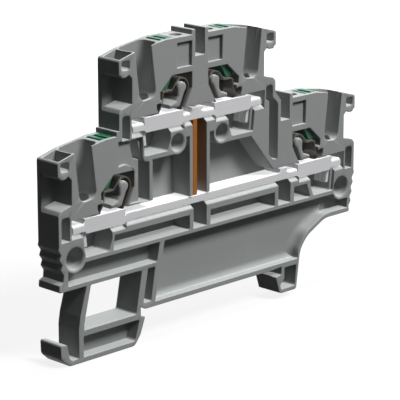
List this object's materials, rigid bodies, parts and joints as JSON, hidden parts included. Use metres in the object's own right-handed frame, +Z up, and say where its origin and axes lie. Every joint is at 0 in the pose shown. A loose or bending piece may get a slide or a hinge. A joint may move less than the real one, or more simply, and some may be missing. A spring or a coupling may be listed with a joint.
{
  "type": "double level terminal block",
  "caption": "Slim double level rail terminal block with an open side, push-in wire funnels, release buttons, current bars, a level link and a springy rail foot.",
  "frame": {"origin": "middle of the rail seat, on the underside that rests on the rail, half-way through the block's thickness", "axes": "+X along the block's length, towards the end with the fixed hook; +Y through the thickness, towards the closed side; +Z up, away from the rail"},
  "size_m": [0.0728, 0.0052, 0.0525],
  "materials": {
    "housing": "grey moulded polyamide, fine satin",
    "tinned_bar": "bright tin plate over copper",
    "copper_link": "bare copper",
    "spring_steel": "blank spring steel strip",
    "button": "green moulded plastic"
  },
  "bodies": {
    "block": {"housing": "housing", "upper_current_bar": "tinned_bar", "lower_current_bar": "tinned_bar", "level_link": "copper_link", "spring_upper_left": "spring_steel", "spring_upper_right": "spring_steel", "spring_lower_left": "spring_steel", "spring_lower_right": "spring_steel"},
    "button_upper_left": {"button_upper_left": "button"},
    "button_upper_right": {"button_upper_right": "button"},
    "button_lower_left": {"button_lower_left": "button"},
    "button_lower_right": {"button_lower_right": "button"}
  },
  "joints": [
    {"name": "press_upper_left", "type": "slide", "parent": "block", "child": "button_upper_left", "axis": [0, 0, -1], "range_m": [0, 0.0012], "stiffness_N_per_m": 2000, "springref_m": -0.0004, "deforming": ["spring_upper_left"]},
    {"name": "press_upper_right", "type": "slide", "parent": "block", "child": "button_upper_right", "axis": [0, 0, -1], "range_m": [0, 0.0012], "stiffness_N_per_m": 2000, "springref_m": -0.0004, "deforming": ["spring_upper_right"]},
    {"name": "press_lower_left", "type": "slide", "parent": "block", "child": "button_lower_left", "axis": [0, 0, -1], "range_m": [0, 0.0012], "stiffness_N_per_m": 2000, "springref_m": -0.0004, "deforming": ["spring_lower_left"]},
    {"name": "press_lower_right", "type": "slide", "parent": "block", "child": "button_lower_right", "axis": [0, 0, -1], "range_m": [0, 0.0012], "stiffness_N_per_m": 2000, "springref_m": -0.0004, "deforming": ["spring_lower_right"]}
  ]
}
